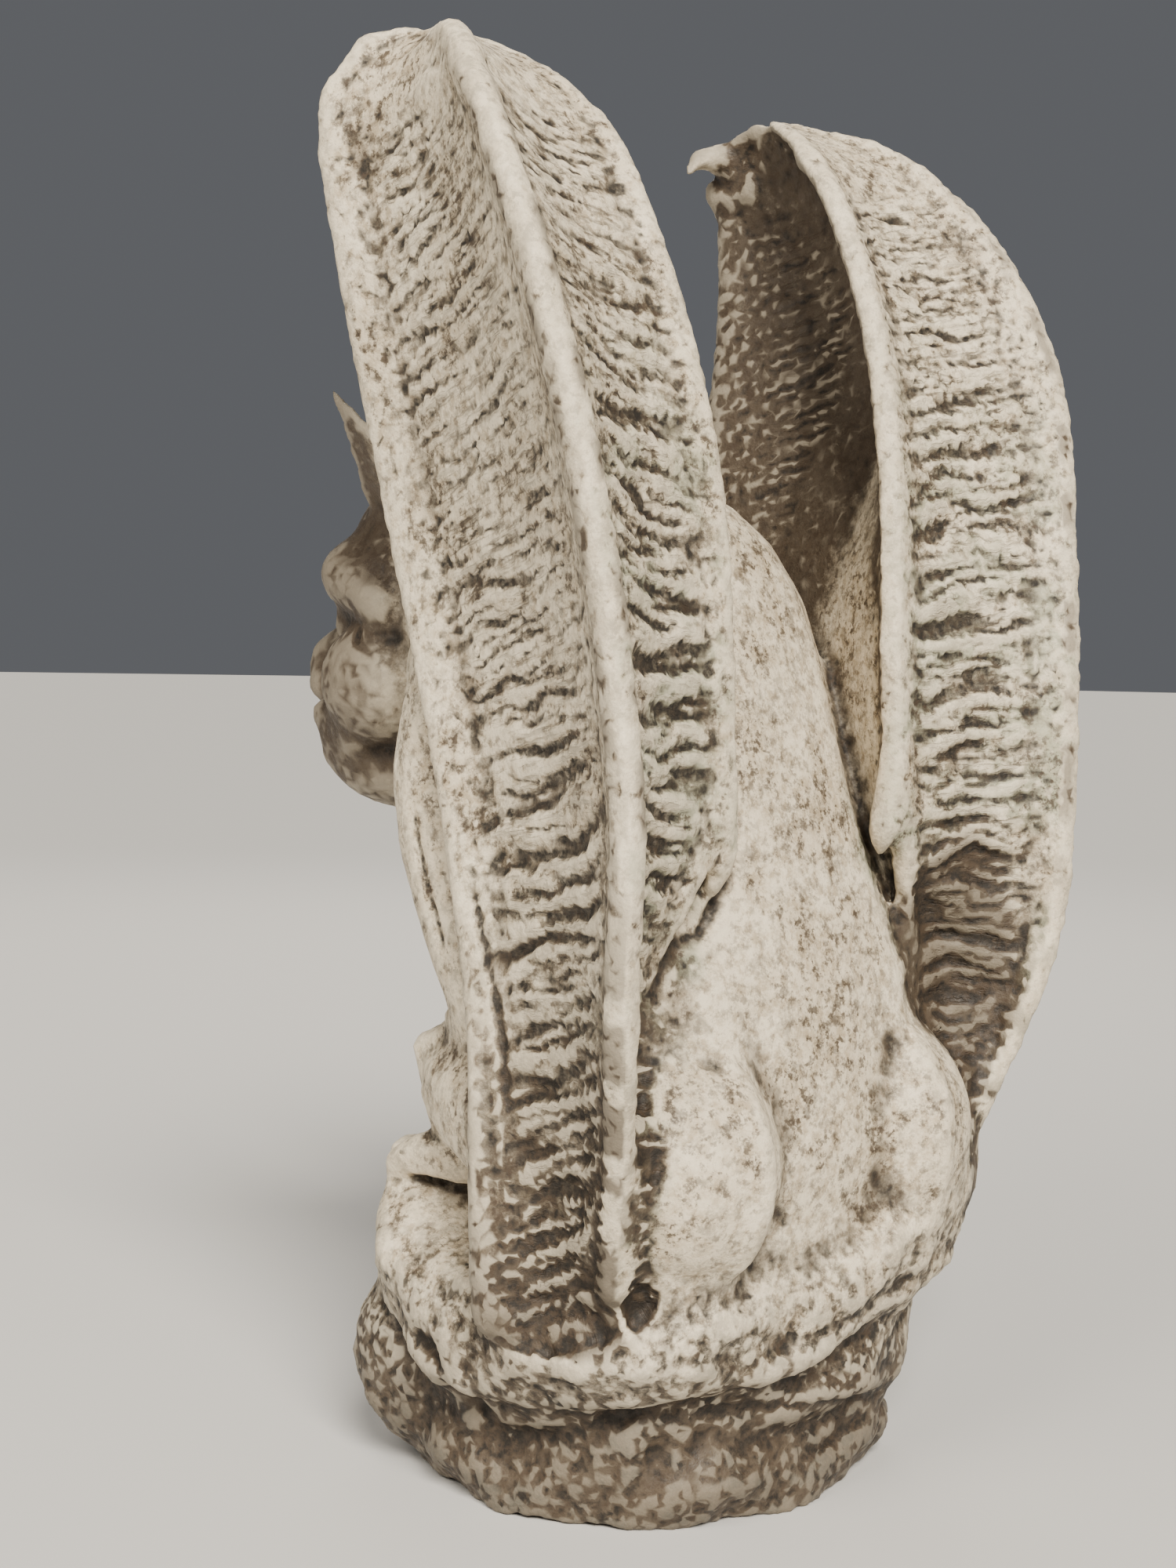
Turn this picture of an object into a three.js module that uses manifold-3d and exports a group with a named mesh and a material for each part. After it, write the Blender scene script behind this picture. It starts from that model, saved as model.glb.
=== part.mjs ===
import * as THREE from "three";
import { mergeVertices } from "three/addons/utils/BufferGeometryUtils.js";
import Module from "manifold-3d";

const wasm = await Module();
wasm.setup();

// A crouching winged gargoyle cast in one piece with its rock, in millimetres.
// The figure faces -Y, its own left side is +X, and the rock stands on z = 0.
// Forms that come in pairs are given for the left side.

// Wings: three curves from the rock to the top, and the roundings along them
const WING_LEAD = [[83, 45, 67], [85, 41, 134], [79, 17, 224], [76, -13, 312], [91, -21, 392],
  [95, -25, 430], [93, -23, 447], [88, -14, 455]];
const WING_RIB = [[77, 80, 82], [90, 95, 126], [104, 108, 176], [106, 111, 225], [114, 104, 306],
  [122, 90, 370], [116, 61, 422], [101, 33, 448], [84, 10, 455]];
const WING_TRAIL = [[62, 72, 84], [66, 78, 150], [60, 84, 188], [46, 90, 216], [42, 89, 255],
  [45, 84, 326], [51, 68, 386], [56, 42, 434], [69, 14, 453]];
const WING_ROWS = 20;
const RIM_RADIUS = 7.5;
const RIB_RADIUS = 5.5;
const RIB_CREST = 7.7;
const EDGE_RADIUS = 5;
const PANEL_PROUD = 3;
const PANEL_SAG = 5;
const CROWN_RISE = 3;
const CROWN_INSET = 0.55;

// How far the inner face of a wing is scooped toward the rib, against the body and in the open
const HOLLOW_LOW = 0.05;
const HOLLOW_HIGH = 0.92;
const HOLLOW_FROM = 255;
const HOLLOW_TO = 390;

// The free end of the trailing edge hangs as a lobe, higher on the right wing
const LOBE = [[45, 89, 262, 3.5], [43, 90, 230, 6], [41, 88, 208, 6], [41, 86, 198, 3]];
const RIGHT_LOBE_LIFT = 9;
const CLAW = [[91, -19, 442, 6.5], [83, -23, 449, 6.5], [73, -25, 447, 4], [66, -25, 440, 1.5]];
const RIB_KNUCKLE = { centre: [82, 88, 117], radii: [9, 9, 18], turn: [-18, 0, 0] };

// Torso: height, half width in front and behind, then the front and the back of each section
const TORSO = [[66, 40, 58, 4, 86], [90, 40, 64, 0, 100], [114, 40, 70, -4, 103], [140, 40, 79, -10, 100],
  [166, 42, 82, -20, 96], [190, 50, 77, -33, 90], [215, 58, 70, -46, 83], [240, 64, 67, -53, 76],
  [264, 66, 66, -54, 69], [288, 60, 60, -48, 61], [306, 47, 47, -38, 53], [319, 28, 28, -22, 42]];
const TORSO_SQUARE = 2.8;
const TORSO_SIDES = 18;
const BELLY = { centre: [0, -12, 150], radii: [40, 26, 38] };
const CHEST = { centre: [21, -36, 226], radii: [30, 22, 26] };

// Limbs: x, y, z and radius at each station
const HAUNCH = { centre: [49, 79, 116], radii: [33, 34, 38], detail: 2 };
const THIGH = [[50, 62, 118, 32], [60, 30, 124, 27], [53, -4, 131, 18]];
const SHIN = [[53, -4, 129, 17], [49, -8, 114, 13], [46, -12, 106, 12]];
const TOE = [[46, -6, 105, 10], [46, -22, 105, 8], [46, -33, 101, 5], [46, -38, 95, 1.5]];
const TOE_SPREAD = [5, 11, 13, 13];
const TOE_STAGGER = 0.6;
const UPPER_ARM = [[50, -2, 268, 24], [57, -12, 228, 19], [60, -1, 188, 16], [63, 18, 158, 15]];
const FOREARM = [[63, 18, 158, 15], [54, 2, 149, 13], [47, -8, 143, 11]];
const FINGER = [[56, -10, 144, 6], [55, -22, 140, 6.5], [53, -21, 121, 4]];
const FINGER_STEP = [-8, -3, 1];
const FINGERS = 3;

// Head
const NECK = [[0, -14, 266, 40], [0, -46, 274, 38], [0, -68, 280, 34]];
const THROAT = [[0, -86, 230, 20], [0, -56, 240, 26]];
const SKULL = { centre: [0, -74, 294], radii: [37, 39, 42], detail: 2 };
const SNOUT = [[0, -72, 262, 34], [0, -96, 256, 29], [0, -112, 254, 21]];
const JAW = { centre: [0, -94, 229], radii: [29, 30, 17], turn: [-8, 0, 0], detail: 2 };
const BRIDGE = [[0, -100, 286, 9], [0, -121, 273, 10], [0, -132, 263, 14]];
const NOSTRIL = { centre: [9, -129, 256], radii: [9, 10, 8], detail: 0 };
const BROW = [[6, -107, 281, 8], [17, -104, 293, 13], [29, -90, 295, 14], [35, -70, 284, 9]];
const EYE = { centre: [18, -106, 277], radii: [9, 8, 7], detail: 0 };
const CHEEK = { centre: [27, -80, 258], radii: [19, 25, 23] };
const UPPER_LIP = [[32, -88, 243, 6], [22, -114, 246, 8], [0, -127, 248, 9], [-22, -114, 246, 8],
  [-32, -88, 243, 6]];
const LOWER_LIP = [[30, -88, 236, 6], [20, -111, 233, 8], [0, -121, 232, 9], [-20, -111, 233, 8],
  [-30, -88, 236, 6]];
const EAR_ROOT = [30, -66, 304];
const EAR_TIP = [57, -77, 358];
const EAR_HALF_WIDTHS = [20, 22, 18, 11, 2];
const EAR_THICK = 9;
const EAR_TIP_THICK = 2;
const EAR_BOW = 8;
const EAR_CUP = -0.2;
const EAR_SIDES = 12;

// Rock: radius and height at eight compass points from the left side round the back, the right side and
// the front; the rings pinch in twice where one layer of the rock meets the next
const ROCK_CENTRE = [-5, 10];
const ROCK_SIDES = 32;
const ROCK_ROUGH = 2.5;
const ROCK_RINGS = [
  [[68, 0], [76, 0], [74, 0], [83, 0], [82, 0], [78, 0], [72, 0], [66, 0]],
  [[72, 12], [81, 13], [80, 13], [91, 12], [88, 14], [86, 14], [80, 14], [72, 16]],
  [[70, 25], [79, 31], [75, 27], [88, 23], [86, 28], [85, 30], [80, 30], [72, 30]],
  [[75, 31], [83, 35], [84, 35], [97, 34], [94, 38], [92, 38], [86, 38], [76, 40]],
  [[73, 35], [82, 39], [81, 50], [98, 64], [92, 58], [91, 54], [86, 52], [78, 54]],
  [[84, 42], [97, 46], [94, 56], [110, 71], [103, 65], [97, 62], [90, 60], [83, 66]],
  [[87, 62], [106, 66], [96, 79], [119, 102], [108, 94], [98, 88], [89, 86], [81, 92]],
  [[80, 75], [101, 84], [87, 93], [112, 121], [99, 110], [88, 100], [80, 96], [74, 104]],
  [[45, 84], [60, 93], [50, 97], [66, 116], [60, 108], [50, 101], [48, 98], [45, 103]],
];
const BOULDERS = [
  { centre: [35, -24, 36], radii: [33, 38, 36], turn: [0, -15, 20], detail: 2 },
  { centre: [-4, -54, 44], radii: [42, 30, 42], turn: [10, 0, 0] },
  { centre: [-50, -34, 48], radii: [38, 38, 40], turn: [0, 10, -20] },
];
const GROUND = 400;

function vec(p) {
  return new THREE.Vector3(p[0], p[1], p[2]);
}

function mirrored(side, stations) {
  return stations.map(([x, ...rest]) => [side * x, ...rest]);
}

function joined(pieces) {
  return pieces.reduce((whole, piece) => whole.add(piece));
}

function signedVolume(position, index) {
  const a = new THREE.Vector3();
  const b = new THREE.Vector3();
  const c = new THREE.Vector3();
  let sum = 0;
  for (let i = 0; i < index.count; i += 3) {
    a.fromBufferAttribute(position, index.getX(i));
    b.fromBufferAttribute(position, index.getX(i + 1));
    c.fromBufferAttribute(position, index.getX(i + 2));
    sum += a.dot(b.cross(c));
  }
  return sum;
}

// Turns a closed surface into a solid with its faces outward
function solid(geometry) {
  geometry.deleteAttribute("normal");
  geometry.deleteAttribute("uv");
  const welded = mergeVertices(geometry, 0.001);
  const corners = Uint32Array.from(welded.index.array);
  if (signedVolume(welded.attributes.position, welded.index) < 0) {
    for (let i = 0; i < corners.length; i += 3) {
      const first = corners[i];
      corners[i] = corners[i + 1];
      corners[i + 1] = first;
    }
  }
  const points = Float32Array.from(welded.attributes.position.array);
  return new wasm.Manifold(new wasm.Mesh({ numProp: 3, vertProperties: points, triVerts: corners }));
}

function middleOf(ring) {
  const middle = new THREE.Vector3();
  for (const p of ring) {
    middle.addScaledVector(p, 1 / ring.length);
  }
  return middle;
}

// Skins a row of rings that have the same number of points and closes both ends
function loft(rings) {
  const around = rings[0].length;
  const points = rings.flat().flatMap((p) => p.toArray());
  const corners = [];
  for (let row = 0; row + 1 < rings.length; row += 1) {
    for (let i = 0; i < around; i += 1) {
      const here = row * around + i;
      const next = row * around + (i + 1) % around;
      corners.push(here, next, next + around);
      corners.push(here, next + around, here + around);
    }
  }
  const last = rings.length - 1;
  for (const row of [0, last]) {
    const hub = points.length / 3;
    points.push(...middleOf(rings[row]).toArray());
    for (let i = 0; i < around; i += 1) {
      const here = row * around + i;
      const next = row * around + (i + 1) % around;
      corners.push(hub, ...(row === 0 ? [next, here] : [here, next]));
    }
  }
  const geometry = new THREE.BufferGeometry();
  geometry.setAttribute("position", new THREE.Float32BufferAttribute(points, 3));
  geometry.setIndex(corners);
  return solid(geometry);
}

// A rounded lump with three radii, turned about x, y and z in degrees
function lump({ centre, radii, turn = [0, 0, 0], detail = 1 }, side = 1) {
  const geometry = new THREE.IcosahedronGeometry(1, detail);
  const angles = turn.map((degrees) => THREE.MathUtils.degToRad(degrees));
  geometry.scale(...radii);
  geometry.applyMatrix4(new THREE.Matrix4().makeRotationFromEuler(new THREE.Euler(...angles)));
  geometry.translate(...centre);
  geometry.scale(side, 1, 1);
  return solid(geometry);
}

// A limb with rounded ends through stations of x, y, z and radius
function limb(stations, sides, stepsPerSpan) {
  const path = new THREE.CatmullRomCurve3(stations.map(vec));
  const spans = stations.length - 1;
  const rows = spans * stepsPerSpan;
  const ringAt = (t, radius, beyond) => {
    const tangent = path.getTangent(t);
    const guide = Math.abs(tangent.x) < 0.8 ? new THREE.Vector3(1, 0, 0) : new THREE.Vector3(0, 1, 0);
    const across = new THREE.Vector3().crossVectors(tangent, guide).normalize();
    const upward = new THREE.Vector3().crossVectors(across, tangent).normalize();
    const middle = path.getPoint(t).addScaledVector(tangent, beyond);
    const ring = [];
    for (let i = 0; i < sides; i += 1) {
      const angle = 2 * Math.PI * i / sides;
      const p = middle.clone();
      p.addScaledVector(across, radius * Math.cos(angle));
      p.addScaledVector(upward, radius * Math.sin(angle));
      ring.push(p);
    }
    return ring;
  };
  const radiusAt = (t) => {
    const span = Math.min(Math.floor(t * spans), spans - 1);
    const part = THREE.MathUtils.smoothstep(t * spans - span, 0, 1);
    return THREE.MathUtils.lerp(stations[span][3], stations[span + 1][3], part);
  };
  const rings = [];
  for (let row = 0; row <= rows; row += 1) {
    rings.push(ringAt(row / rows, radiusAt(row / rows), 0));
  }
  const endAngle = THREE.MathUtils.degToRad(55);
  const near = Math.cos(endAngle);
  const far = Math.sin(endAngle);
  const first = radiusAt(0);
  const last = radiusAt(1);
  rings.unshift(ringAt(0, first * near, -first * far));
  rings.push(ringAt(1, last * near, last * far));
  return loft(rings);
}

// One ring of a wing: the leading rim, the outer panel, the rib, the inner panel, the trailing edge and
// the scooped inner face
function wingRing(l, r, t) {
  const outward = (from, to) => new THREE.Vector3(to.y - from.y, from.x - to.x, 0).normalize();
  const outerFace = outward(l, r);
  const innerFace = outward(r, t);
  const ahead = new THREE.Vector3().subVectors(l, r).normalize();
  const behind = new THREE.Vector3().subVectors(t, r).normalize();
  const crest = new THREE.Vector3().addVectors(outerFace, innerFace).normalize();
  const ring = [];
  for (const degrees of [-90, -45, 0, 45, 90]) {
    const angle = THREE.MathUtils.degToRad(degrees);
    const p = l.clone().addScaledVector(ahead, RIM_RADIUS * Math.cos(angle));
    ring.push(p.addScaledVector(outerFace, RIM_RADIUS * Math.sin(angle)));
  }
  const panel = (from, to, face) => {
    for (const part of [0.16, 0.5, 0.84]) {
      const sag = PANEL_PROUD - PANEL_SAG * 4 * part * (1 - part);
      ring.push(from.clone().lerp(to, part).addScaledVector(face, sag));
    }
  };
  panel(l, r, outerFace);
  ring.push(r.clone().addScaledVector(outerFace, RIB_RADIUS));
  ring.push(r.clone().addScaledVector(crest, RIB_CREST));
  ring.push(r.clone().addScaledVector(innerFace, RIB_RADIUS));
  panel(r, t, innerFace);
  ring.push(t.clone().addScaledVector(innerFace, EDGE_RADIUS));
  ring.push(t.clone().addScaledVector(behind, EDGE_RADIUS));
  ring.push(t.clone().addScaledVector(innerFace, -EDGE_RADIUS));
  const open = THREE.MathUtils.smoothstep((l.z + r.z + t.z) / 3, HOLLOW_FROM, HOLLOW_TO);
  const from = ring[ring.length - 1];
  const to = ring[0];
  const pull = from.clone().lerp(to, 0.5).lerp(r, THREE.MathUtils.lerp(HOLLOW_LOW, HOLLOW_HIGH, open));
  const scoop = new THREE.QuadraticBezierCurve3(from, pull, to);
  for (const part of [0.2, 0.5, 0.8]) {
    ring.push(scoop.getPoint(part));
  }
  return ring;
}

// One wing: a thick skin folded along its middle rib, with a claw on top and a knuckle at the rib's foot
function wing(side) {
  const [lead, rib, trail] = [WING_LEAD, WING_RIB, WING_TRAIL].map((line) => {
    return new THREE.CatmullRomCurve3(line.map(vec));
  });
  const rings = [];
  for (let row = 0; row <= WING_ROWS; row += 1) {
    const u = row / WING_ROWS;
    rings.push(wingRing(lead.getPointAt(u), rib.getPointAt(u), trail.getPointAt(u)));
  }
  const top = rings[WING_ROWS];
  const hub = middleOf(top);
  const rise = new THREE.Vector3(0, 0, CROWN_RISE);
  rings.push(top.map((p) => p.clone().lerp(hub, CROWN_INSET).add(rise)));
  for (const p of rings.flat()) {
    p.x *= side;
  }
  const lift = side < 0 ? RIGHT_LOBE_LIFT : 0;
  const hung = LOBE.map(([x, y, z, radius], i) => [x, y, z + lift * i / (LOBE.length - 1), radius]);
  const lobe = limb(mirrored(side, hung), 6, 2);
  const claw = limb(mirrored(side, CLAW), 6, 1);
  return joined([loft(rings), lobe, claw, lump(RIB_KNUCKLE, side)]);
}

// The trunk is broad behind and slim in front, with the belly between the knees
function trunk() {
  const rings = TORSO.map(([z, slim, broad, front, back]) => {
    const middle = (front + back) / 2;
    const depth = (back - front) / 2;
    const ring = [];
    for (let i = 0; i < TORSO_SIDES; i += 1) {
      const angle = 2 * Math.PI * i / TORSO_SIDES;
      const x = Math.cos(angle);
      const y = Math.sin(angle);
      const length = (Math.abs(x) ** TORSO_SQUARE + Math.abs(y) ** TORSO_SQUARE) ** (1 / TORSO_SQUARE);
      const half = THREE.MathUtils.lerp(slim, broad, THREE.MathUtils.smoothstep(y, -0.7, 0.5));
      ring.push(new THREE.Vector3(half * x / length, middle + depth * y / length, z));
    }
    return ring;
  });
  return joined([loft(rings), lump(BELLY), lump(CHEST), lump(CHEST, -1)]);
}

// One hind leg: the haunch, the thigh along the side, the shin and a foot with three clawed toes
function hindLeg(side) {
  const toes = [-1, 0, 1].map((way) => {
    const stations = TOE.map(([x, y, z, radius], i) => {
      return [x + way * TOE_SPREAD[i], y + way * TOE_STAGGER, z, radius];
    });
    return limb(mirrored(side, stations), 5, 1);
  });
  const thigh = limb(mirrored(side, THIGH), 9, 2);
  const shin = limb(mirrored(side, SHIN), 7, 1);
  return joined([lump(HAUNCH, side), thigh, shin, ...toes]);
}

// One arm: it hangs from the shoulder with the elbow back and the hand on the knee
function arm(side) {
  const parts = [limb(mirrored(side, UPPER_ARM), 8, 2), limb(mirrored(side, FOREARM), 7, 1)];
  for (let i = 0; i < FINGERS; i += 1) {
    const stations = FINGER.map(([x, y, z, radius]) => {
      return [x + i * FINGER_STEP[0], y + i * FINGER_STEP[1], z + i * FINGER_STEP[2], radius];
    });
    parts.push(limb(mirrored(side, stations), 5, 1));
  }
  return joined(parts);
}

// One pointed ear, a leaf that leans out and is cupped toward the side
function ear(side) {
  const root = vec(EAR_ROOT);
  const tip = vec(EAR_TIP);
  const across = new THREE.Vector3(0.1, 1, -0.2).normalize();
  const face = new THREE.Vector3().crossVectors(across, tip.clone().sub(root)).normalize();
  const rings = EAR_HALF_WIDTHS.map((half, i) => {
    const along = i / (EAR_HALF_WIDTHS.length - 1);
    const middle = root.clone().lerp(tip, along);
    middle.addScaledVector(across, EAR_BOW * Math.sin(Math.PI * along));
    const thick = THREE.MathUtils.lerp(EAR_THICK, EAR_TIP_THICK, along);
    const ring = [];
    for (let k = 0; k < EAR_SIDES; k += 1) {
      const angle = 2 * Math.PI * k / EAR_SIDES;
      const rise = Math.sin(angle) > 0.3 ? EAR_CUP : Math.sin(angle);
      const p = middle.clone();
      p.addScaledVector(across, half * Math.cos(angle));
      p.addScaledVector(face, thick * rise);
      p.x *= side;
      ring.push(p);
    }
    return ring;
  });
  return loft(rings);
}

// The head: a heavy brow over the eyes, a blunt snout, thick lips and pointed ears
function head() {
  const forms = [limb(NECK, 12, 1), limb(THROAT, 8, 1), lump(SKULL), limb(SNOUT, 12, 1), lump(JAW)];
  forms.push(limb(BRIDGE, 7, 1), limb(UPPER_LIP, 5, 1), limb(LOWER_LIP, 5, 1));
  for (const side of [1, -1]) {
    forms.push(limb(mirrored(side, BROW), 7, 2), ear(side));
    for (const form of [EYE, CHEEK, NOSTRIL]) {
      forms.push(lump(form, side));
    }
  }
  return joined(forms);
}

// The rock: layers that dip to the left, with boulders round its front, cut flat underneath
function rock() {
  const rings = ROCK_RINGS.map((compass, row) => {
    const corners = compass.map(([radius, height], i) => {
      const angle = 2 * Math.PI * i / compass.length;
      return new THREE.Vector3(radius * Math.cos(angle), radius * Math.sin(angle), height);
    });
    const line = new THREE.CatmullRomCurve3(corners, true);
    const ring = line.getPoints(ROCK_SIDES);
    ring.pop();
    return ring.map((p, i) => {
      const angle = 2 * Math.PI * i / ROCK_SIDES;
      const bump = Math.sin(5 * angle + 1.7 * row) + 0.7 * Math.sin(9 * angle - 2.3 * row);
      const grown = 1 + ROCK_ROUGH * bump / Math.hypot(p.x, p.y);
      return new THREE.Vector3(ROCK_CENTRE[0] + p.x * grown, ROCK_CENTRE[1] + p.y * grown, p.z);
    });
  });
  const ground = new THREE.BoxGeometry(GROUND, GROUND, GROUND);
  ground.translate(0, 0, -GROUND / 2);
  const boulders = BOULDERS.map((form) => lump(form));
  return joined([loft(rings), ...boulders]).subtract(solid(ground));
}

const pairs = [1, -1].flatMap((side) => [wing(side), hindLeg(side), arm(side)]);
const skin = joined([trunk(), head(), rock(), ...pairs]).getMesh();
const geometry = new THREE.BufferGeometry();
geometry.setAttribute("position", new THREE.BufferAttribute(Float32Array.from(skin.vertProperties), 3));
geometry.setIndex(Array.from(skin.triVerts));
const stone = new THREE.MeshStandardMaterial({ color: 0xb3a892, roughness: 0.7, metalness: 0 });
const gargoyle = new THREE.Mesh(geometry, stone);
gargoyle.name = "gargoyle";
const group = new THREE.Group();
group.add(gargoyle);

export default group;
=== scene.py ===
import math

import bmesh
import bpy
import numpy as np
from mathutils import Matrix, Vector
from mathutils.kdtree import KDTree


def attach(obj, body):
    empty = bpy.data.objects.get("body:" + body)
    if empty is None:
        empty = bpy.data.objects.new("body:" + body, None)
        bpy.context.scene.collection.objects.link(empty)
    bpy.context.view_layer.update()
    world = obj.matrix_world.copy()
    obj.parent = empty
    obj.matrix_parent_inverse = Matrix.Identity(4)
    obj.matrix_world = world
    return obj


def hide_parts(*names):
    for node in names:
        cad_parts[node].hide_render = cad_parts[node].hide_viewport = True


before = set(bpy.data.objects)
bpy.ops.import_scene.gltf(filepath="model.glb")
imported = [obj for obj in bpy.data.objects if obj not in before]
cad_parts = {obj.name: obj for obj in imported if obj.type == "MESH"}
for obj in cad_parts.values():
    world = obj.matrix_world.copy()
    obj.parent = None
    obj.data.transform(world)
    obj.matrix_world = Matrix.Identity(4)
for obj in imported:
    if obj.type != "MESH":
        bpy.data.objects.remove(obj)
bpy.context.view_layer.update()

# The casting: a crouching winged gargoyle and the rock under it, poured as one piece of cast stone.
# It is taken from the solid, recast in a fine even skin and rubbed down, softly on flesh and rock and
# lightly on wings, ears and claws, so that the forms run into each other as they do in a mould.
skin_step = 0.0015
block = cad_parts["gargoyle"].data.copy()
welded = bmesh.new()
welded.from_mesh(block)
bmesh.ops.remove_doubles(welded, verts=welded.verts, dist=0.00001)
welded.to_mesh(block)
welded.free()
casting = bpy.data.objects.new("gargoyle_casting", block)
bpy.context.scene.collection.objects.link(casting)


def set_fast(piece):
    """Turns a piece and its modifiers into a plain mesh."""
    done = piece.evaluated_get(bpy.context.evaluated_depsgraph_get())
    fresh = bpy.data.meshes.new_from_object(done)
    spent = piece.data
    piece.modifiers.clear()
    piece.data = fresh
    bpy.data.meshes.remove(spent)


def points_of(mesh):
    flat = np.empty(len(mesh.vertices) * 3, np.float32)
    mesh.vertices.foreach_get("co", flat)
    return flat.reshape(-1, 3).astype(float)


def outward_of(mesh):
    flat = np.empty(len(mesh.vertices) * 3, np.float32)
    mesh.vertices.foreach_get("normal", flat)
    return flat.reshape(-1, 3).astype(float)


def place(mesh, points):
    mesh.vertices.foreach_set("co", points.astype(np.float32).ravel())
    mesh.update()


def mark(mesh, name, values):
    found = mesh.attributes.get(name) or mesh.attributes.new(name, "FLOAT", "POINT")
    found.data.foreach_set("value", np.asarray(values, np.float32))


def edges_of(mesh):
    flat = np.empty(len(mesh.edges) * 2, np.int32)
    mesh.edges.foreach_get("vertices", flat)
    return flat[0::2], flat[1::2]


def rubbed(values, edges, passes, softness):
    """Draws each point toward the middle of its neighbours, as far as its softness lets it."""
    one, other = edges
    size = len(values)
    shared = np.bincount(one, minlength=size) + np.bincount(other, minlength=size)
    weight = 0.5 * np.asarray(softness) / np.maximum(shared, 1)
    values = values.copy()
    for _ in range(passes):
        pulled = np.empty_like(values)
        for axis in range(values.shape[1]):
            line = values[:, axis]
            near = np.bincount(one, line[other], size) + np.bincount(other, line[one], size)
            pulled[:, axis] = line + weight * (near - shared * line)
        values = pulled
    return values


def ramp(low, high, value):
    part = np.clip((value - low) / (high - low), 0.0, 1.0)
    return part * part * (3.0 - 2.0 * part)


def recast(piece):
    """Gives a piece a fresh even skin."""
    skin = piece.modifiers.new("recast", "REMESH")
    skin.mode = "VOXEL"
    skin.voxel_size = skin_step
    set_fast(piece)


def run_together(points):
    """Where wing foot, haunch and rock run into each other, and where the wing's crown closes."""
    wide, deep, high = np.abs(points[:, 0]), points[:, 1], points[:, 2]
    foot = (ramp(0.046, 0.06, high) * (1.0 - ramp(0.16, 0.185, high))
            * ramp(0.036, 0.046, wide) * ramp(0.03, 0.045, deep))
    crown = crown_share * ramp(0.422, 0.438, high) * np.maximum(ramp(0.084, 0.09, wide),
                                                                ramp(-0.012, -0.004, deep))
    return np.maximum(foot, crown)[:, None]


# The mould could not follow narrow crevices: swelling the skin and drawing it back closes them.
swell, crown_share = 0.009, 0.66
recast(casting)
skin = points_of(casting.data)
place(casting.data, skin + outward_of(casting.data) * swell * run_together(skin))
recast(casting)
skin = points_of(casting.data)
place(casting.data, skin - outward_of(casting.data) * swell * run_together(skin))
recast(casting)

# The wings: two thick leaves of stone, each folded along a middle rib, with a rounded leading rim.
# Every point near a wing learns where it lies along and across the leaf, and on which face.
wing_rim = [(83, 45, 67), (85, 41, 134), (79, 17, 224), (76, -13, 312), (91, -21, 392), (95, -25, 430),
            (93, -23, 447), (88, -14, 455)]
wing_rib = [(77, 80, 82), (90, 95, 126), (104, 108, 176), (106, 111, 225), (114, 104, 306), (122, 90, 370),
            (116, 61, 422), (101, 33, 448), (84, 10, 455)]
wing_trail = [(62, 72, 84), (66, 78, 150), (60, 84, 188), (46, 90, 216), (42, 89, 255), (45, 84, 326),
              (51, 68, 386), (56, 42, 434), (69, 14, 453)]
leaf_rows = 72
leaf_columns = 17
leaf_reach = 0.0135
leaf_length, leaf_width = 0.42, 0.07
panel_apart, wings_apart = 0.3, 0.7


def line_through(stations, count):
    """Evenly spaced points on a smooth line through stations in millimetres, in metres."""
    knots = np.array(stations, float) / 1000.0
    padded = np.vstack([2 * knots[0] - knots[1], knots, 2 * knots[-1] - knots[-2]])
    run = []
    for i in range(len(knots) - 1):
        a, b, c, d = padded[i:i + 4]
        for t in np.linspace(0.0, 1.0, 24, endpoint=False):
            run.append(0.5 * (2 * b + (c - a) * t + (2 * a - 5 * b + 4 * c - d) * t * t
                              + (3 * b - a - 3 * c + d) * t ** 3))
    run = np.array(run + [knots[-1]])
    travelled = np.r_[0.0, np.cumsum(np.linalg.norm(np.diff(run, axis=0), axis=1))]
    even = np.linspace(0.0, travelled[-1], count)
    return np.stack([np.interp(even, travelled, run[:, axis]) for axis in range(3)], axis=1)


rim_line, rib_line, trail_line = (line_through(s, leaf_rows) for s in (wing_rim, wing_rib, wing_trail))
leaf_share = np.linspace(0.0, 1.0, leaf_columns)[None, :, None]
leaf_points, leaf_faces, leaf_down, leaf_over = [], [], [], []
for near, far in ((rim_line, rib_line), (rib_line, trail_line)):
    sheet = near[:, None] + (far - near)[:, None] * leaf_share
    facing = np.stack([(far - near)[:, 1], -(far - near)[:, 0], np.zeros(leaf_rows)], axis=1)
    facing /= np.linalg.norm(facing, axis=1)[:, None]
    leaf_points.append(sheet.reshape(-1, 3))
    leaf_faces.append(np.repeat(facing, leaf_columns, axis=0))
    leaf_down.append(np.gradient(sheet, axis=0).reshape(-1, 3))
    leaf_over.append(np.gradient(sheet, axis=1).reshape(-1, 3))
leaf_points, leaf_faces, leaf_down, leaf_over = (
    np.concatenate(a) for a in (leaf_points, leaf_faces, leaf_down, leaf_over))
leaf_tree = KDTree(len(leaf_points))
for i, p in enumerate(leaf_points):
    leaf_tree.insert(p, i)
leaf_tree.balance()


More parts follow.
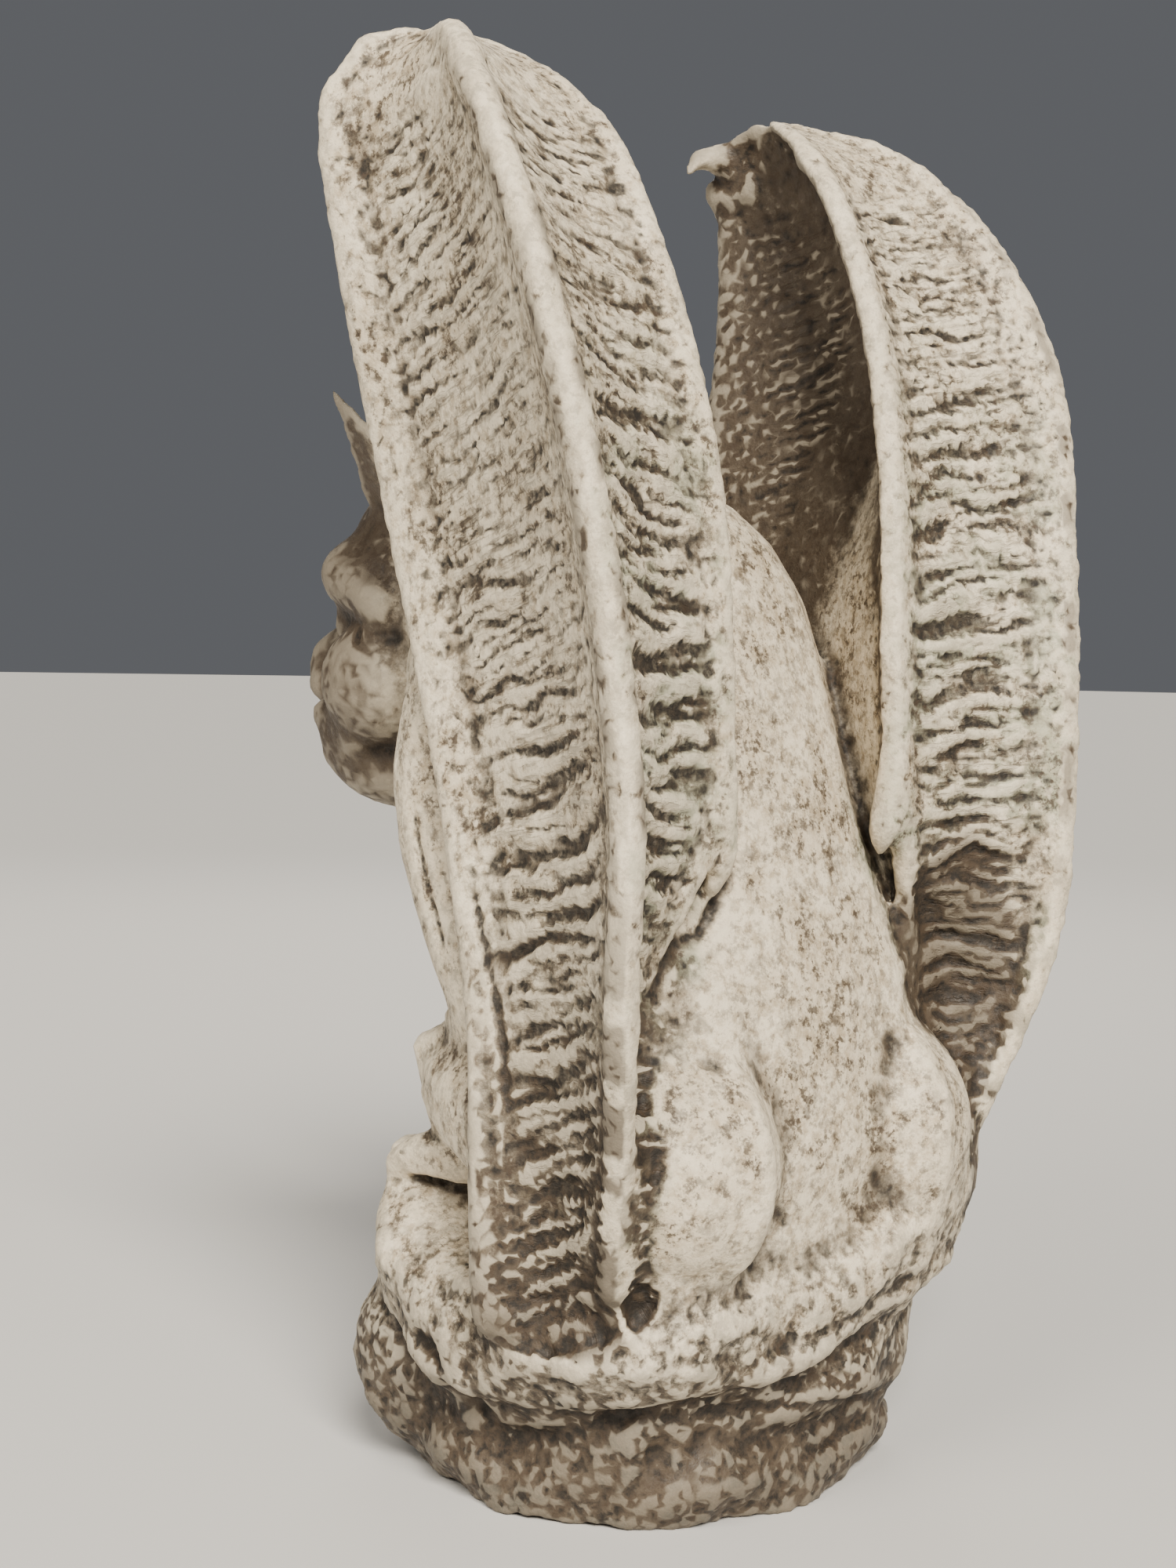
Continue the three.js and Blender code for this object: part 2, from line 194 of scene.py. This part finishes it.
def leaf_places(points, outward):
    """For each point: how far it is from a wing leaf, its row, its share across, panel and facing there."""
    size = len(points)
    gap, found = np.full(size, 1.0), np.zeros(size, int)
    folded = points.copy()
    folded[:, 0] = np.abs(folded[:, 0])
    for i in np.flatnonzero((folded[:, 0] > 0.03) & (points[:, 2] > 0.06)):
        _, found[i], gap[i] = leaf_tree.find(folded[i])
    off = folded - leaf_points[found]
    down, over = leaf_down[found], leaf_over[found]
    row_part = np.clip((off * down).sum(1) / (down * down).sum(1), -0.8, 0.8)
    column_part = np.clip((off * over).sum(1) / (over * over).sum(1), -0.8, 0.8)
    place_in_panel = found % (leaf_rows * leaf_columns)
    row = place_in_panel // leaf_columns + row_part
    across = (place_in_panel % leaf_columns + column_part) / (leaf_columns - 1)
    panel = found // (leaf_rows * leaf_columns)
    side = np.where(points[:, 0] > 0, 1.0, -1.0)
    face = leaf_faces[found]
    facing = outward[:, 0] * side * face[:, 0] + outward[:, 1] * face[:, 1]
    return gap, leaf_length * row / (leaf_rows - 1), np.clip(across, 0.0, 1.0), panel, facing


stone = points_of(casting.data)
links = edges_of(casting.data)
gap, along, across, panel, facing = leaf_places(stone, outward_of(casting.data))
on_leaf = 1.0 - ramp(leaf_reach, leaf_reach + 0.006, gap)
side_way, depth, height = np.abs(stone[:, 0]), stone[:, 1], stone[:, 2]
on_ear = ramp(0.026, 0.034, side_way) * ramp(0.312, 0.324, height) * (1.0 - ramp(-0.05, -0.04, depth))
on_hand = ramp(0.02, 0.028, side_way) * ramp(0.09, 0.096, height) * (1.0 - ramp(0.152, 0.16, height)) \
    * (1.0 - ramp(-0.006, 0.004, depth))
on_claw = ramp(0.432, 0.438, height) * (1.0 - ramp(-0.012, -0.004, depth)) \
    * (1.0 - ramp(0.082, 0.088, side_way))
on_rock = 1.0 - ramp(0.062, 0.1, height - 0.2 * np.clip(-stone[:, 0], 0.0, 0.1))
wing_hold, detail_hold, rock_hold, least_softness = 0.72, 0.85, 0.45, 0.1
on_detail = np.maximum(on_ear, np.maximum(on_hand, on_claw))
softness = np.clip(1.0 - wing_hold * on_leaf * ramp(0.088, 0.115, height) - detail_hold * on_detail
                   - rock_hold * on_rock, least_softness, 1.0)
rub_passes = 42
soft = rubbed(stone, links, rub_passes, softness)
stone = soft + rubbed(stone - soft, links, rub_passes, softness)
place(casting.data, stone)

# Hollows at the crown and foot of each wing, and beside its ribs, are filled but nothing is taken off.
fill_passes, most_fill, rib_fill = 110, 0.007, 0.45
outer_face, inner_face = ramp(0.1, 0.5, facing), ramp(0.1, 0.5, -facing)
at_crown = ramp(0.415, 0.436, height) * (1.0 - on_claw)
at_foot = ramp(0.06, 0.085, height) * (1.0 - ramp(0.15, 0.2, height)) * ramp(0.03, 0.045, side_way) \
    * ramp(0.03, 0.05, depth)
filling = np.maximum(np.maximum(at_crown, at_foot), rib_fill * on_leaf * outer_face)
outward = outward_of(casting.data)
lift = np.einsum("ij,ij->i", rubbed(stone, links, fill_passes, np.ones(len(stone))) - stone, outward)
stone = stone + outward * (filling * np.clip(lift, 0.0, most_fill))[:, None]

# The carved lines: the sculptor's tool left grooves at the hips, rump, wing rim, arm, brow and wing lobe
# and in the rock. Each is a run of points in millimetres with the groove's half width and depth.
grooves = {
    "left hip": ([(62, 86, 152), (54, 91, 149), (50, 97, 147), (45, 102, 143), (40, 105, 137),
                  (38, 108, 128)], 4.0, 1.2),
    "rump": ([(38, 108, 128), (40, 111, 119), (37, 110, 109), (20, 100, 98), (8, 101, 99)], 3.0, 1.0),
    "right hip": ([(-30, 99, 134), (-36, 97, 146), (-55, 88, 150), (-72, 84, 151)], 3.5, 1.2),
    "crack in the rim": ([(86, 28, 207), (87, 32, 193), (88, 37, 180), (88, 42, 166), (88, 46, 150),
                          (88, 49, 128)], 1.6, 1.6),
    "arm": ([(76, -11, 226), (76, -8, 212), (76, -3, 195), (76, 4, 181), (77, 10, 167)], 2.4, 1.8),
    "brow": ([(42, -84, 288), (42, -80, 282), (40, -78, 272), (41, -70, 266)], 2.2, 1.4),
    "rock, left": ([(73, -18, 57), (81, 8, 49), (72, 15, 36), (66, 30, 18)], 4.5, 4.5),
    "rock, right": ([(-45, 85, 22), (-22, 87, 18), (-4, 87, 14)], 3.0, 2.4),
    "rock, upper seam": ([(-52, 102, 71), (-23, 103, 66), (3, 104, 62), (28, 96, 58), (47, 88, 48),
                          (57, 65, 36), (62, 39, 28)], 3.5, 2.6),
    "rock, lower seam": ([(-50, 86, 28), (-5, 94, 34), (13, 90, 36), (34, 82, 37), (52, 71, 36)], 3.0, 2.2),
    "under the left lobe": ([(24, 81, 222), (30, 84, 206), (38, 86, 194), (46, 86, 186), (56, 86, 184),
                             (62, 86, 176), (66, 85, 165)], 3.0, 3.0),
    "beside the right hip": ([(-56, 88, 200), (-66, 89, 188), (-75, 89, 175), (-80, 89, 162),
                              (-84, 92, 148)], 7.0, 4.0),
}


def cut(points, outward, run, half_width, depth_mm):
    """Sinks a groove of rounded section into the stone along a run of points."""
    run = np.array(run, float) / 1000.0
    nearest, travelled, length = np.full(len(points), 1.0), np.zeros(len(points)), 0.0
    for a, b in zip(run[:-1], run[1:]):
        span = b - a
        part = np.clip((points - a) @ span / (span @ span), 0.0, 1.0)
        away = np.linalg.norm(points - a - part[:, None] * span, axis=1)
        closer = away < nearest
        nearest[closer] = away[closer]
        travelled[closer] = length + part[closer] * np.linalg.norm(span)
        length += np.linalg.norm(span)
    taper = np.sin(math.pi * np.clip(travelled / length, 0.0, 1.0)) ** 0.7
    sunk = depth_mm / 1000.0 * taper * np.exp(-(nearest * 1000.0 / half_width) ** 2)
    return points - outward * sunk[:, None]


place(casting.data, stone)
near_leaf = 1.0 - ramp(leaf_reach - 0.002, leaf_reach + 0.002, gap)
valley = np.where(panel < 0.5,
                  np.exp(-((across - 0.15) / 0.05) ** 2) + np.exp(-((across - 0.86) / 0.06) ** 2),
                  np.exp(-((across - 0.17) / 0.07) ** 2) + 0.6 * np.exp(-((across - 0.85) / 0.05) ** 2))
sag = 4.0 * across * (1.0 - across)
rim_valley, leaf_sag = 0.0006, 0.0024
sunk = near_leaf * outer_face * (1.0 - at_crown) * (rim_valley * valley + leaf_sag * sag)
stone = stone - outward_of(casting.data) * sunk[:, None]
place(casting.data, stone)
for run, half_width, depth_mm in grooves.values():
    stone = cut(stone, outward_of(casting.data), run, half_width, depth_mm)
place(casting.data, stone)

# The skin of the wings is drawn into short broken wrinkles that run across each leaf and are deepest
# low down, and the whole stone keeps the pitted grain of the mould and the lumps of the rock.
between_rims = np.where(panel < 0.5, ramp(0.06, 0.3, across) * (1.0 - ramp(0.7, 0.92, across)),
                        ramp(0.08, 0.32, across) * (1.0 - ramp(0.7, 0.95, across)))
on_skin = near_leaf * between_rims * (outer_face + 0.75 * inner_face) * (1.0 - at_crown)
low_on_leaf = np.where(panel < 0.5, 1.0 - 0.85 * ramp(0.16, 0.33, height),
                       1.0 - 0.75 * ramp(0.3, 0.42, height))
mark(casting.data, "skin_cover", on_skin)
mark(casting.data, "ridge_cover", on_skin * low_on_leaf)
mark(casting.data, "rim_cover", near_leaf * (1.0 - between_rims))
mark(casting.data, "leaf_along", along)
mark(casting.data, "leaf_across", across * leaf_width + panel * panel_apart + (stone[:, 0] < 0) * wings_apart)
mark(casting.data, "rock_cover", on_rock)

weathering = bpy.data.node_groups.new("stone_weathering", "GeometryNodeTree")
weathering.is_modifier = True
weathering.interface.new_socket("Casting", in_out="INPUT", socket_type="NodeSocketGeometry")
weathering.interface.new_socket("Casting", in_out="OUTPUT", socket_type="NodeSocketGeometry")
weather_sizes = {"Ridge Spacing": 0.0078, "Ridge Length": 0.042, "Ridge Depth": 0.0013,
                 "Wrinkle Spacing": 0.0038, "Wrinkle Length": 0.014, "Wrinkle Depth": 0.00055,
                 "Grain Size": 0.0045, "Grain Depth": 0.00045, "Lump Size": 0.022, "Lump Depth": 0.0042,
                 "Seed": 4.0}
weather_sockets = {}
for name, value in weather_sizes.items():
    socket = weathering.interface.new_socket(name, in_out="INPUT", socket_type="NodeSocketFloat")
    socket.default_value = value
    weather_sockets[name] = socket.identifier
weather_in = weathering.nodes.new("NodeGroupInput")
weather_out = weathering.nodes.new("NodeGroupOutput")


def tie(value, socket):
    if isinstance(value, (int, float)):
        socket.default_value = value
    else:
        weathering.links.new(value, socket)


def sum_of(operation, a, b=0.0, c=0.0):
    node = weathering.nodes.new("ShaderNodeMath")
    node.operation = operation
    for i, value in enumerate((a, b, c)):
        tie(value, node.inputs[i])
    return node.outputs[0]


def kept(name):
    node = weathering.nodes.new("GeometryNodeInputNamedAttribute")
    node.data_type = "FLOAT"
    node.inputs["Name"].default_value = name
    return node.outputs["Attribute"]


def noise_at(vector, scale, detail, rough):
    node = weathering.nodes.new("ShaderNodeTexNoise")
    node.noise_dimensions = "3D"
    tie(vector, node.inputs["Vector"])
    tie(scale, node.inputs["Scale"])
    node.inputs["Detail"].default_value = detail
    node.inputs["Roughness"].default_value = rough
    return node.outputs[0]


def spread(value, low, high, to_low, to_high):
    node = weathering.nodes.new("ShaderNodeMapRange")
    node.interpolation_type = "SMOOTHSTEP"
    for i, item in enumerate((value, low, high, to_low, to_high)):
        tie(item, node.inputs[i])
    return node.outputs[0]


def at(x, y, z):
    node = weathering.nodes.new("ShaderNodeCombineXYZ")
    for i, item in enumerate((x, y, z)):
        tie(item, node.inputs[i])
    return node.outputs[0]


given = weather_in.outputs
here = weathering.nodes.new("GeometryNodeInputPosition").outputs[0]
drift = noise_at(here, 42.0, 2.0, 0.5)


def waves(spacing, length, wander, detail):
    """Broken waves across a leaf, from -1 in the trough to 1 on the crest."""
    run = sum_of("MULTIPLY_ADD", drift, wander, sum_of("DIVIDE", kept("leaf_along"), given[spacing]))
    over_leaf = sum_of("DIVIDE", kept("leaf_across"), given[length])
    return spread(noise_at(at(run, over_leaf, given["Seed"]), 1.0, detail, 0.5), 0.34, 0.66, -1.0, 1.0)


patch = spread(noise_at(here, 30.0, 2.0, 0.5), 0.34, 0.62, 0.35, 1.0)
ridge = sum_of("MULTIPLY", waves("Ridge Spacing", "Ridge Length", 1.6, 1.2), kept("ridge_cover"))
wrinkle = sum_of("MULTIPLY", waves("Wrinkle Spacing", "Wrinkle Length", 2.4, 1.6), kept("skin_cover"))
wrinkle = sum_of("MULTIPLY", wrinkle, patch)
grain = noise_at(here, sum_of("DIVIDE", 1.0, given["Grain Size"]), 2.0, 0.6)
grain = sum_of("MULTIPLY_ADD", grain, 2.0, -1.0)
grain = sum_of("MULTIPLY", grain, sum_of("MULTIPLY_ADD", kept("rim_cover"), 1.1, 1.0))
lump = noise_at(here, sum_of("DIVIDE", 1.0, given["Lump Size"]), 4.0, 0.62)
lump = sum_of("MULTIPLY", sum_of("MULTIPLY_ADD", lump, 2.0, -1.0), kept("rock_cover"))
raised = sum_of("MULTIPLY", wrinkle, given["Wrinkle Depth"])
raised = sum_of("MULTIPLY_ADD", ridge, given["Ridge Depth"], raised)
raised = sum_of("MULTIPLY_ADD", grain, given["Grain Depth"], raised)
raised = sum_of("MULTIPLY_ADD", lump, given["Lump Depth"], raised)
outward_node = weathering.nodes.new("GeometryNodeInputNormal")
push = weathering.nodes.new("ShaderNodeVectorMath")
push.operation = "SCALE"
weathering.links.new(outward_node.outputs[0], push.inputs[0])
tie(raised, push.inputs["Scale"])
shift = weathering.nodes.new("GeometryNodeSetPosition")
weathering.links.new(given["Casting"], shift.inputs["Geometry"])
weathering.links.new(push.outputs[0], shift.inputs["Offset"])
whole = weathering.nodes.new("GeometryNodeRealizeInstances")
weathering.links.new(shift.outputs[0], whole.inputs[0])
coat = weathering.nodes.new("GeometryNodeSetMaterial")
weathering.links.new(whole.outputs[0], coat.inputs["Geometry"])
# The stone's material: antiqued ivory with a brown wash, and painted shade in the wash.
cast_stone = bpy.data.materials.new("antiqued_stone_and_painted_shade")
coat.inputs["Material"].default_value = cast_stone
weathering.links.new(coat.outputs[0], weather_out.inputs[0])

weather = casting.modifiers.new("weather", "NODES")
weather.node_group = weathering
for name, value in weather_sizes.items():
    weather[weather_sockets[name]] = value
set_fast(casting)

# The antiquing: a thin brown wash brushed over the ivory stone and wiped back, so that it stays in the folds,
# low on the rock and inside the wings; in folds and hollows this darkening is partly painted shade. The same mark
# also paints shade: the wing's shadow on the head, shade in the pocket by the right hip, at the foot of the rock and
# of the wings, and under the wings. Each point learns how deep it lies before the skin is thinned.
stone = points_of(casting.data)
outward = outward_of(casting.data)
links = edges_of(casting.data)
free = np.ones(len(stone))
fold_passes, hollow_passes = 5, 60
sunk_little = np.einsum("ij,ij->i", rubbed(stone, links, fold_passes, free) - stone, outward)
sunk_much = np.einsum("ij,ij->i", rubbed(stone, links, hollow_passes, free) - stone, outward)
fold_depth, hollow_depth = 0.0005, 0.004
mark(casting.data, "fold", np.clip(0.5 + sunk_little / fold_depth, 0.0, 1.0))
mark(casting.data, "hollow", np.clip(0.5 + sunk_much / hollow_depth, 0.0, 1.0))
# Under the wings: partly brown wash, partly painted shade.
under_leaf_wash_and_shade = inner_face * (1.0 - ramp(0.022, 0.036, gap)) * ramp(0.17, 0.23, height)
beside_rib = ramp(0.8, 0.96, across) * (panel < 0.5) * outer_face * near_leaf
# Painted shade: the lower part of each wing's outer face is darkened.
leaf_foot_shade = on_leaf * outer_face * (1.0 - ramp(0.11, 0.25, height))
# Painted shadow: the head is darkened as if the near wing's shadow lay on it.
head_shadow = (1.0 - ramp(-0.08, -0.04, depth)) * ramp(0.19, 0.23, height)
# Painted shade: a dark patch in the pocket beside the right hip, behind the right wing.
pocket, pocket_shape = (-0.076, 0.092, 0.172), (1.0, 1.0, 0.5)
shade_behind_wing = 1.0 - ramp(0.012, 0.03, np.linalg.norm((stone - pocket) * pocket_shape, axis=1))
# Painted shade: the rock is darkened, most towards its foot.
rock_wash_and_shade = on_rock * (0.3 + 0.7 * (1.0 - ramp(0.012, 0.075, height)))
mark(casting.data, "wash_and_painted_shade", np.clip(0.75 * under_leaf_wash_and_shade + 0.35 * beside_rib + 0.6 * leaf_foot_shade + rock_wash_and_shade
                                    + 0.85 * head_shadow + 0.9 * shade_behind_wing, 0.0, 1.0))
# A green-grey tint on each wing's inner panel and low on the wings, darkened there as painted shade.
mark(casting.data, "green_tint_and_shade", on_leaf * (panel > 0.5) * outer_face * (1.0 - ramp(0.3, 0.4, height))
     + 0.5 * leaf_foot_shade)

triangles = 194000
thin = casting.modifiers.new("thin", "DECIMATE")
thin.use_collapse_triangulate = True
thin.ratio = triangles / sum(len(p.vertices) - 2 for p in casting.data.polygons)
set_fast(casting)
stone = points_of(casting.data)
stone[:, 2] = np.maximum(stone[:, 2], 0.0)
place(casting.data, stone)
for face in casting.data.polygons:
    face.use_smooth = True

cast_stone.use_nodes = True
paint = cast_stone.node_tree
paint.nodes.clear()


def dab(kind, **settings):
    node = paint.nodes.new(kind)
    for name, value in settings.items():
        setattr(node, name, value)
    return node


def lay(value, socket):
    if isinstance(value, (int, float, tuple)):
        socket.default_value = value
    else:
        paint.links.new(value, socket)


def speckle(scale, detail, rough):
    node = dab("ShaderNodeTexNoise")
    lay(own_place.outputs["Object"], node.inputs["Vector"])
    node.inputs["Scale"].default_value = scale
    node.inputs["Detail"].default_value = detail
    node.inputs["Roughness"].default_value = rough
    return node.outputs[0]


def between(value, low, high, to_low=0.0, to_high=1.0):
    node = dab("ShaderNodeMapRange", interpolation_type="SMOOTHSTEP")
    for i, item in enumerate((value, low, high, to_low, to_high)):
        lay(item, node.inputs[i])
    return node.outputs[0]


def reckon(operation, a, b=0.0, c=0.0):
    node = dab("ShaderNodeMath", operation=operation, use_clamp=True)
    for i, item in enumerate((a, b, c)):
        lay(item, node.inputs[i])
    return node.outputs[0]


def over(amount, under_colour, top_colour):
    node = dab("ShaderNodeMix", data_type="RGBA", blend_type="MIX")
    lay(amount, node.inputs[0])
    lay(under_colour, node.inputs[6])
    lay(top_colour, node.inputs[7])
    return node.outputs[2]


def known(name):
    return dab("ShaderNodeAttribute", attribute_name=name).outputs["Fac"]


own_place = dab("ShaderNodeTexCoord")
ivory, sand = (0.80, 0.70, 0.53, 1.0), (0.36, 0.28, 0.175, 1.0)
umber_wash_and_shade, soot_and_shade = (0.052, 0.034, 0.02, 1.0), (0.013, 0.01, 0.007, 1.0)
green_grey_shade, worn = (0.27, 0.29, 0.20, 1.0), (0.76, 0.67, 0.51, 1.0)
mottle = between(speckle(38.0, 6.0, 0.62), 0.36, 0.66)
fleck = speckle(310.0, 4.0, 0.65)
brushed = between(speckle(230.0, 5.0, 0.72), 0.44, 0.64)
pits = between(speckle(340.0, 4.0, 0.7), 0.5, 0.62)
wiped = between(speckle(70.0, 6.0, 0.66), 0.3, 0.66, 0.35, 1.0)
pores = between(speckle(150.0, 7.0, 0.78), 0.49, 0.62)
on_leaf_place = dab("ShaderNodeCombineXYZ")
lay(known("leaf_along"), on_leaf_place.inputs[0])
lay(known("leaf_across"), on_leaf_place.inputs[1])
stretched = dab("ShaderNodeVectorMath", operation="MULTIPLY")
lay(on_leaf_place.outputs[0], stretched.inputs[0])
stretched.inputs[1].default_value = (420.0, 75.0, 1.0)
scored = dab("ShaderNodeTexNoise")
lay(stretched.outputs[0], scored.inputs["Vector"])
scored.inputs["Scale"].default_value = 1.0
scored.inputs["Detail"].default_value = 4.0
scored.inputs["Roughness"].default_value = 0.6
strokes = reckon("MULTIPLY", between(scored.outputs[0], 0.5, 0.64), known("skin_cover"))
colour = over(reckon("MULTIPLY", mottle, 0.45), ivory, sand)
colour = over(reckon("MULTIPLY", brushed, 0.7), colour, sand)
# Green-grey tint in patches, partly painted shade on the inner panels and wing feet.
tint_patches = between(speckle(60.0, 5.0, 0.6), 0.4, 0.62, 0.0, 0.65)
colour = over(reckon("MULTIPLY", known("green_tint_and_shade"), tint_patches), colour, green_grey_shade)
# Random patches of brown wash, plus the painted shade read from the point mark: head, pocket, rock foot, wings.
wash_and_shade_amount = reckon("MULTIPLY_ADD", speckle(120.0, 8.0, 0.76), 0.9, reckon("MULTIPLY", known("wash_and_painted_shade"), 0.8))
colour = over(between(wash_and_shade_amount, 0.5, 1.05, 0.0, 0.97), colour, umber_wash_and_shade)
colour = over(reckon("MULTIPLY", pores, between(mottle, 0.0, 1.0, 0.35, 0.85)), colour, umber_wash_and_shade)
# Darkening in broad hollows: partly the brown wash that stays there, partly painted shade.
hollow_wash_and_shade = between(known("hollow"), 0.5, 0.78)
colour = over(reckon("MULTIPLY", hollow_wash_and_shade, wiped), colour, umber_wash_and_shade)
stained = reckon("MULTIPLY", known("rock_cover"), between(speckle(95.0, 7.0, 0.74), 0.47, 0.62, 0.0, 0.9))
colour = over(stained, colour, soot_and_shade)
colour = over(reckon("MULTIPLY", strokes, between(mottle, 0.0, 1.0, 0.55, 0.9)), colour, umber_wash_and_shade)
# Near-black in creases and folds: partly wash, partly painted shade.
fold_soot_and_shade = between(known("fold"), 0.54, 0.9)
colour = over(reckon("MULTIPLY", fold_soot_and_shade, between(fleck, 0.3, 0.62, 0.45, 0.98)), colour, soot_and_shade)
colour = over(reckon("MULTIPLY", pits, between(mottle, 0.0, 1.0, 0.4, 0.9)), colour, umber_wash_and_shade)
rubbed_edge = reckon("MULTIPLY", between(known("fold"), 0.46, 0.2, 0.0, 0.5),
                     between(known("wash_and_painted_shade"), 0.5, 1.0, 1.0, 0.3))
colour = over(rubbed_edge, colour, worn)
finish = dab("ShaderNodeBsdfPrincipled")
lay(colour, finish.inputs["Base Color"])
lay(between(fleck, 0.3, 0.7, 0.5, 0.78), finish.inputs["Roughness"])
finish.inputs["Specular IOR Level"].default_value = 0.42
rise = dab("ShaderNodeBump")
rise.inputs["Strength"].default_value = 0.8
rise.inputs["Distance"].default_value = 0.001
height_of_grain = reckon("MULTIPLY_ADD", speckle(900.0, 3.0, 0.6), 0.3, reckon("MULTIPLY", fleck, 0.4))
lay(reckon("MULTIPLY_ADD", strokes, -0.4, reckon("ADD", height_of_grain, 0.3)), rise.inputs["Height"])
lay(rise.outputs[0], finish.inputs["Normal"])
surface = dab("ShaderNodeOutputMaterial")
lay(finish.outputs[0], surface.inputs["Surface"])

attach(casting, "root")
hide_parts("gargoyle")

# The studio: a plain pale floor, a broad soft key light and two disk lamps, with the camera behind the figure's left
# shoulder at the height of its back, as the statue was seen.
floor_mesh = bpy.data.meshes.new("studio_floor")
reach = 40.0
floor_mesh.from_pydata([(-reach, -reach, 0), (reach, -reach, 0), (reach, reach, 0), (-reach, reach, 0)], [],
                       [(0, 1, 2, 3)])
floor = bpy.data.objects.new("studio_floor", floor_mesh)
bpy.context.scene.collection.objects.link(floor)
pale = bpy.data.materials.new("pale_floor")
pale.use_nodes = True
pale.node_tree.nodes["Principled BSDF"].inputs["Base Color"].default_value = (0.62, 0.61, 0.59, 1.0)
pale.node_tree.nodes["Principled BSDF"].inputs["Roughness"].default_value = 0.85
floor_mesh.materials.append(pale)

sky = bpy.data.worlds.new("studio_air")
bpy.context.scene.world = sky
sky.use_nodes = True
sky.node_tree.nodes["Background"].inputs[0].default_value = (0.9, 0.93, 1.0, 1.0)
sky.node_tree.nodes["Background"].inputs[1].default_value = 0.13

middle = Vector((0.0, 0.0, 0.22))
for name, kind, spot, width, power in (("key_lamp", "SUN", (0.7, 1.05, 1.2), 0.4, 6.3),
                                       ("left_lamp", "AREA", (1.35, 0.3, 1.1), 0.8, 16.0),
                                       ("front_lamp", "AREA", (-1.2, -1.3, 1.3), 1.2, 9.0)):
    lamp = bpy.data.lights.new(name, kind)
    if kind == "SUN":
        lamp.angle = width
    else:
        lamp.shape = "DISK"
        lamp.size = width
    lamp.energy = power
    lamp.color = (1.0, 0.94, 0.84)
    stand = bpy.data.objects.new(name, lamp)
    stand.location = spot
    stand.rotation_mode = "QUATERNION"
    stand.rotation_quaternion = (middle - Vector(spot)).to_track_quat("-Z", "Y")
    bpy.context.scene.collection.objects.link(stand)

heading, climb, roll = math.radians(46.4), math.radians(2.8), math.radians(1.0)
aim, away = Vector((0.003, -0.002, 0.225)), 0.786
back = Vector((math.sin(heading) * math.cos(climb), math.cos(heading) * math.cos(climb), math.sin(climb)))
level = (-back).cross(Vector((0, 0, 1))).normalized()
upright = level.cross(-back)
across_view = level * math.cos(roll) + upright * math.sin(roll)
up_view = upright * math.cos(roll) - level * math.sin(roll)
lens = bpy.data.cameras.new("photo_camera")
lens.sensor_width = 36.0
lens.lens = 54.0
camera = bpy.data.objects.new("photo_camera", lens)
turned = Matrix((across_view, up_view, back)).transposed().to_4x4()
camera.matrix_world = Matrix.Translation(aim + back * away) @ turned
bpy.context.scene.collection.objects.link(camera)
bpy.context.scene.camera = camera

bpy.context.view_layer.update()
